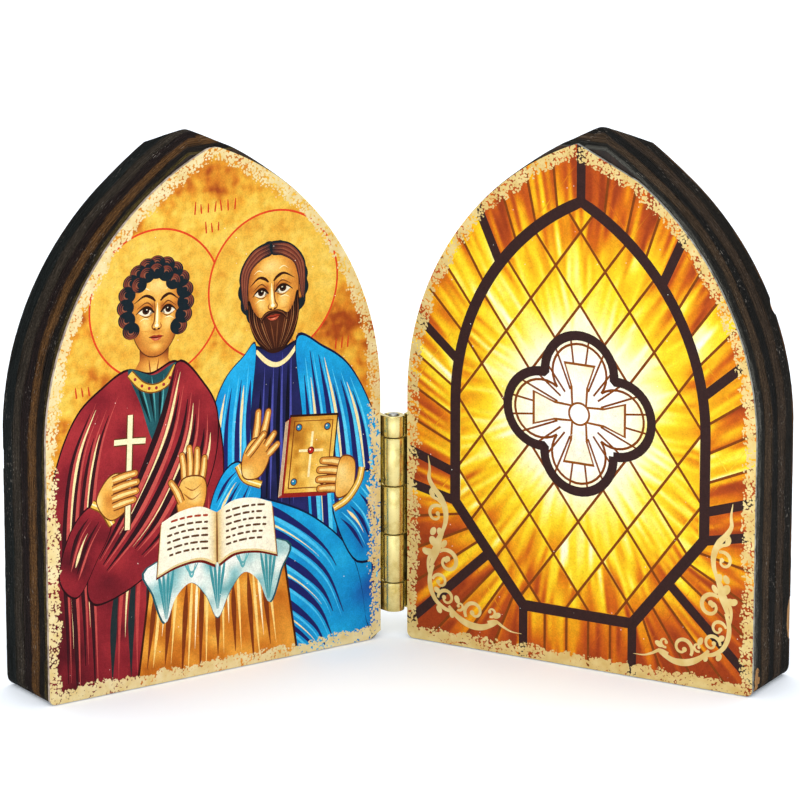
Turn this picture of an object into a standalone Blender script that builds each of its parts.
"""A pocket diptych icon: two pointed-arch plywood boards that carry printed pictures on their
inner faces, joined by a brass hinge and standing open in a V.

Each wing is modelled in its own frame, whose Z axis is the hinge pin: u runs outwards along the
board, w runs back from the picture through the board's thickness, and z is up. The right wing
uses u as X and w as Y. The left wing is its mirror image. Two empties on the pin turn the wings
into the open V. The origin is at the middle of the whole object's underside.
"""

import math

import bmesh
import bpy
from mathutils import Matrix, Vector

MM = 0.001

# The V: each board turns this far towards the viewer from one flat plane.
WING_ANGLE = math.radians(31.5)

# The boards: a pointed arch whose two arcs are tangent to upright sides.
BOARD_WIDTH = 60.0 * MM
BOARD_HEIGHT = 83.0 * MM
SPRING_HEIGHT = 39.6 * MM
BOARD_THICKNESS = 12.0 * MM
BOARD_CORNER_RADIUS = 1.8 * MM
BOARD_APEX_RADIUS = 1.6 * MM
BACK_EDGE_ROUNDING = 0.5 * MM

# The printed sheets, held just inside the boards' outline.
PICTURE_THICKNESS = 0.4 * MM
PICTURE_INSET = 0.15 * MM
PICTURE_APEX_RADIUS = 0.7 * MM
PICTURE_SETBACK = 0.45 * MM
TORN_CORNER = 2.2 * MM

# The hinge: leaves of one sheet thickness, rolled into knuckles round the pin.
PIN_RADIUS = 0.8 * MM
PIN_CLEARANCE = 0.1 * MM
LEAF_THICKNESS = 0.8 * MM
LEAF_DEPTH = 9.5 * MM
LEAF_NOTCH = 1.9 * MM
HINGE_FOOT = 4.5 * MM
KNUCKLE_LENGTHS = [4.7 * MM, 7.8 * MM, 7.8 * MM, 7.8 * MM, 3.4 * MM]
KNUCKLE_ROLL = math.radians(295.0)
LEFT_KNUCKLES = {0, 2, 4}
RIGHT_KNUCKLES = {1, 3}

# The nails that hold each leaf to its board's edge.
NAIL_RADIUS = 0.45 * MM
NAIL_HEAD_RADIUS = 1.1 * MM
NAIL_HEAD_HEIGHT = 0.35 * MM
NAIL_GRIP = 4.6 * MM
NAIL_TIP = 0.8 * MM
NAIL_DEPTH = 5.7 * MM
NAIL_PLACES = {"lower": 0.22, "upper": 0.78}

# Neighbouring pieces never quite touch.
GAP = 0.3 * MM

# Facets of the round work.
ARC_STEPS = 16
CORNER_STEPS = 4
ROLL_STEPS = 30
ROUND_STEPS = 24

# Places that follow from the sizes above.
LEAF_INNER = PIN_RADIUS + PIN_CLEARANCE
LEAF_OUTER = LEAF_INNER + LEAF_THICKNESS
BOARD_EDGE = LEAF_OUTER + GAP
BOARD_FRONT = PICTURE_SETBACK + PICTURE_THICKNESS + GAP
BOARD_BACK = BOARD_FRONT + BOARD_THICKNESS
HINGE_TOP = HINGE_FOOT + sum(KNUCKLE_LENGTHS)
ARC_RADIUS = ((BOARD_WIDTH / 2) ** 2 + (BOARD_HEIGHT - SPRING_HEIGHT) ** 2) / BOARD_WIDTH
SPAN = BOARD_EDGE + BOARD_WIDTH

# The pin stands where the whole object's depth is centred on the origin.
FRONT_REACH = (SPAN - PICTURE_INSET) * math.sin(WING_ANGLE) - PICTURE_SETBACK * math.cos(WING_ANGLE)
BACK_REACH = BOARD_BACK * math.cos(WING_ANGLE) - BOARD_EDGE * math.sin(WING_ANGLE)
PIN_Y = (FRONT_REACH - BACK_REACH) / 2


def clear_scene():
    for item in list(bpy.data.objects):
        bpy.data.objects.remove(item, do_unlink=True)


def make_material(name, colour, roughness, metallic=0.0):
    material = bpy.data.materials.new(name)
    material.use_nodes = True
    shader = material.node_tree.nodes["Principled BSDF"]
    shader.inputs["Base Color"].default_value = (*colour, 1.0)
    shader.inputs["Roughness"].default_value = roughness
    shader.inputs["Metallic"].default_value = metallic
    return material


def make_object(name, mesh_builder, material, parent, mirrored, smooth_angle=None):
    """Turn a finished bmesh into a named object on its wing, mirrored for the left wing."""
    if mirrored:
        bmesh.ops.scale(mesh_builder, vec=(-1, 1, 1), verts=mesh_builder.verts)
    bmesh.ops.recalc_face_normals(mesh_builder, faces=mesh_builder.faces)
    mesh = bpy.data.meshes.new(name)
    mesh_builder.to_mesh(mesh)
    mesh_builder.free()
    if smooth_angle is not None:
        mesh.shade_smooth()
        mesh.set_sharp_from_angle(angle=smooth_angle)
    piece = bpy.data.objects.new(name, mesh)
    piece.data.materials.append(material)
    piece.parent = parent
    bpy.context.scene.collection.objects.link(piece)
    return piece


def make_wing(name, angle):
    """An empty on the pin's axis, turned by the wing's angle."""
    wing = bpy.data.objects.new(name, None)
    wing.location = (0, PIN_Y, 0)
    wing.rotation_euler = (0, 0, angle)
    bpy.context.scene.collection.objects.link(wing)
    return wing


def arc(centre, radius, start, end, steps):
    """Points on a circle from one angle to another, both ends included."""
    points = []
    for step in range(steps + 1):
        angle = start + (end - start) * step / steps
        points.append((centre[0] + radius * math.cos(angle), centre[1] + radius * math.sin(angle)))
    return points


def arch_outline(inset, apex_radius, corner_radius):
    """The pointed arch as (u, z) points, anticlockwise, moved inwards by the inset."""
    radius = ARC_RADIUS - inset
    middle = BOARD_WIDTH / 2
    centre_offset = ARC_RADIUS - middle
    apex_rise = math.sqrt((radius - apex_radius) ** 2 - centre_offset ** 2)
    apex_turn = math.atan2(apex_rise, centre_offset)
    low = inset + corner_radius
    high = BOARD_WIDTH - inset - corner_radius
    outline = arc((low, low), corner_radius, math.pi, 1.5 * math.pi, CORNER_STEPS)
    outline += arc((high, low), corner_radius, 1.5 * math.pi, 2 * math.pi, CORNER_STEPS)
    outer_centre = (BOARD_WIDTH - ARC_RADIUS, SPRING_HEIGHT)
    outline += arc(outer_centre, radius, 0, apex_turn, ARC_STEPS)[:-1]
    apex_centre = (middle, SPRING_HEIGHT + apex_rise)
    outline += arc(apex_centre, apex_radius, apex_turn, math.pi - apex_turn, CORNER_STEPS)
    inner_centre = (ARC_RADIUS, SPRING_HEIGHT)
    outline += arc(inner_centre, radius, math.pi - apex_turn, math.pi, ARC_STEPS)[1:]
    return [(BOARD_EDGE + u, z) for u, z in outline]


def extrude_face(builder, corners, direction):
    """Fill one outline and pull it along a direction into a closed prism."""
    face = builder.faces.new([builder.verts.new(corner) for corner in corners])
    pulled = bmesh.ops.extrude_face_region(builder, geom=[face], use_keep_orig=True)
    moved = [item for item in pulled["geom"] if isinstance(item, bmesh.types.BMVert)]
    bmesh.ops.translate(builder, vec=direction, verts=moved)
    bmesh.ops.recalc_face_normals(builder, faces=builder.faces)


def shave(builder, point, normal):
    """Cut off whatever stands past a plane, and close the cut."""
    everything = list(builder.verts) + list(builder.edges) + list(builder.faces)
    cut = bmesh.ops.bisect_plane(
        builder, geom=everything, plane_co=point, plane_no=Vector(normal).normalized(), clear_outer=True
    )
    rim = [item for item in cut["geom_cut"] if isinstance(item, bmesh.types.BMEdge)]
    bmesh.ops.holes_fill(builder, edges=rim, sides=0)


def build_board(builder, apex_flat):
    """A plywood arch with softened back edges and a blunted, worn apex."""
    outline = arch_outline(0.0, BOARD_APEX_RADIUS, BOARD_CORNER_RADIUS)
    extrude_face(builder, [(u, BOARD_FRONT, z) for u, z in outline], (0, BOARD_THICKNESS, 0))
    back_rim = [
        edge for edge in builder.edges
        if all(abs(vertex.co.y - BOARD_BACK) < GAP / 10 for vertex in edge.verts)
    ]
    bmesh.ops.bevel(
        builder, geom=back_rim, offset=BACK_EDGE_ROUNDING, segments=2, profile=0.5, affect="EDGES"
    )
    middle = BOARD_EDGE + BOARD_WIDTH / 2
    top = max(vertex.co.z for vertex in builder.verts)
    shave(builder, (middle, BOARD_BACK, top - apex_flat), (0, 0.09, 1))
    shave(builder, (middle, BOARD_FRONT, top - 0.8 * MM), (0, -0.8, 1))


def build_picture(builder, torn):
    """A thin printed sheet of the board's outline, with its low hinge-side corner torn or whole."""
    outline = arch_outline(PICTURE_INSET, PICTURE_APEX_RADIUS, BOARD_CORNER_RADIUS)
    extrude_face(builder, [(u, PICTURE_SETBACK, z) for u, z in outline], (0, PICTURE_THICKNESS, 0))
    if torn:
        shave(builder, (BOARD_EDGE + TORN_CORNER, 0, PICTURE_INSET), (-0.55, 0, -1))


def knuckle_span(index):
    """The lowest and highest z of one knuckle, with half a gap taken off at each joint."""
    low = HINGE_FOOT + sum(KNUCKLE_LENGTHS[:index])
    high = low + KNUCKLE_LENGTHS[index]
    if index > 0:
        low += GAP / 2
    if index < len(KNUCKLE_LENGTHS) - 1:
        high -= GAP / 2
    return low, high


def build_leaf(builder, own_knuckles):
    """One leaf: a comb-shaped plate whose tongues are rolled round the pin into knuckles."""
    comb = [(LEAF_DEPTH, HINGE_TOP), (LEAF_DEPTH, HINGE_FOOT)]
    if min(own_knuckles) > 0:
        comb.append((LEAF_NOTCH, HINGE_FOOT))
    for index in sorted(own_knuckles):
        low, high = knuckle_span(index)
        if index > 0:
            comb.append((LEAF_NOTCH, low))
        comb.append((0.0, low))
        comb.append((0.0, high))
        if index < len(KNUCKLE_LENGTHS) - 1:
            comb.append((LEAF_NOTCH, high))
    if max(own_knuckles) < len(KNUCKLE_LENGTHS) - 1:
        comb.append((LEAF_NOTCH, HINGE_TOP))
    extrude_face(builder, [(LEAF_INNER, w, z) for w, z in comb], (LEAF_THICKNESS, 0, 0))
    tongue_ends = [
        face for face in builder.faces if all(abs(vertex.co.y) < GAP / 10 for vertex in face.verts)
    ]
    for face in tongue_ends:
        bmesh.ops.spin(
            builder, geom=[face], cent=(0, 0, 0), axis=(0, 0, 1), angle=-KNUCKLE_ROLL, steps=ROLL_STEPS
        )
    bmesh.ops.delete(builder, geom=tongue_ends, context="FACES_ONLY")


def build_turned(builder, profile, steps=ROUND_STEPS):
    """Turn a profile of (radius, height) points round the Z axis into a closed solid."""
    verts = [builder.verts.new((radius, 0, height)) for radius, height in profile]
    edges = [builder.edges.new(pair) for pair in zip(verts, verts[1:])]
    bmesh.ops.spin(
        builder, geom=verts + edges, cent=(0, 0, 0), axis=(0, 0, 1), angle=2 * math.pi, steps=steps
    )
    bmesh.ops.remove_doubles(builder, verts=builder.verts, dist=GAP / 100)


def build_pin(builder):
    """The hinge pin, with chamfered ends just inside the outer knuckles."""
    chamfer = 0.2 * MM
    low = HINGE_FOOT + chamfer
    high = HINGE_TOP + chamfer
    profile = [
        (0, low), (PIN_RADIUS - chamfer, low), (PIN_RADIUS, low + chamfer),
        (PIN_RADIUS, high - chamfer), (PIN_RADIUS - chamfer, high), (0, high),
    ]
    build_turned(builder, profile)


def nail_height(place):
    return HINGE_FOOT + (HINGE_TOP - HINGE_FOOT) * NAIL_PLACES[place]


def build_nail(builder, place):
    """A small round-headed nail, driven outwards through the leaf into the board's edge."""
    head = LEAF_INNER - GAP
    tip = BOARD_EDGE + NAIL_GRIP
    profile = [
        (0, head - NAIL_HEAD_HEIGHT),
        (0.6 * NAIL_HEAD_RADIUS, head - 0.8 * NAIL_HEAD_HEIGHT),
        (NAIL_HEAD_RADIUS, head - 0.3 * NAIL_HEAD_HEIGHT),
        (NAIL_HEAD_RADIUS, head),
        (NAIL_RADIUS, head),
        (NAIL_RADIUS, tip - NAIL_TIP),
        (0, tip),
    ]
    build_turned(builder, profile, steps=16)
    lay_along_u(builder, place)


def lay_along_u(builder, place):
    """Lay a turned piece down so that its axis runs outwards, at a nail's height and depth."""
    bmesh.ops.rotate(
        builder, cent=(0, 0, 0), matrix=Matrix.Rotation(math.pi / 2, 3, "Y"), verts=builder.verts
    )
    bmesh.ops.translate(builder, vec=(0, NAIL_DEPTH, nail_height(place)), verts=builder.verts)


def build_nail_hole(builder, place):
    """The round hole that a nail passes through, from the leaf's face to past the nail's tip."""
    radius = NAIL_RADIUS + GAP
    profile = [
        (0, LEAF_INNER - GAP), (radius, LEAF_INNER - GAP),
        (radius, BOARD_EDGE + NAIL_GRIP + GAP), (0, BOARD_EDGE + NAIL_GRIP + GAP),
    ]
    build_turned(builder, profile, steps=16)
    lay_along_u(builder, place)


def drill(piece, cutter):
    hole = piece.modifiers.new(cutter.name, "BOOLEAN")
    hole.operation = "DIFFERENCE"
    hole.solver = "EXACT"
    hole.object = cutter


def build_wing(side, angle, own_knuckles, apex_flat, picture_torn, materials):
    """All the pieces of one wing, on their own empty."""
    mirrored = side == "left"
    wing = make_wing(side + "_wing", angle)
    shape = bmesh.new()
    build_board(shape, apex_flat)
    board = make_object(side + "_board", shape, materials[side + "_board"], wing, mirrored)
    shape = bmesh.new()
    build_picture(shape, picture_torn)
    make_object(side + "_picture", shape, materials[side + "_picture"], wing, mirrored)
    shape = bmesh.new()
    build_leaf(shape, own_knuckles)
    leaf = make_object(
        side + "_hinge_leaf", shape, materials[side + "_hinge_leaf"], wing, mirrored, math.radians(30)
    )
    for place in NAIL_PLACES:
        shape = bmesh.new()
        build_nail(shape, place)
        name = side + "_nail_" + place
        make_object(name, shape, materials[name], wing, mirrored, math.radians(30))
        shape = bmesh.new()
        build_nail_hole(shape, place)
        cutter = make_object(name + "_hole", shape, materials[name], wing, mirrored)
        cutter.hide_render = True
        cutter.display_type = "WIRE"
        drill(leaf, cutter)
        drill(board, cutter)
    return wing


def main():
    clear_scene()
    stain = (0.035, 0.022, 0.017)
    brass = (0.66, 0.47, 0.16)
    materials = {
        "left_picture": make_material("gold ground print", (0.68, 0.36, 0.07), 0.35),
        "right_picture": make_material("amber print", (0.72, 0.26, 0.03), 0.35),
    }
    for side in ("left", "right"):
        materials[side + "_board"] = make_material(side + " stained plywood", stain, 0.6)
        materials[side + "_hinge_leaf"] = make_material(side + " leaf brass", brass, 0.25, 1.0)
        for place in NAIL_PLACES:
            name = side + "_nail_" + place
            materials[name] = make_material(name + " brass", brass, 0.3, 1.0)
    left_wing = build_wing("left", WING_ANGLE, LEFT_KNUCKLES, 1.0 * MM, True, materials)
    build_wing("right", -WING_ANGLE, RIGHT_KNUCKLES, 0.7 * MM, False, materials)
    shape = bmesh.new()
    build_pin(shape)
    steel = make_material("pin steel", (0.55, 0.55, 0.53), 0.3, 1.0)
    make_object("hinge_pin", shape, steel, left_wing, True, math.radians(30))
    bpy.context.view_layer.update()


main()
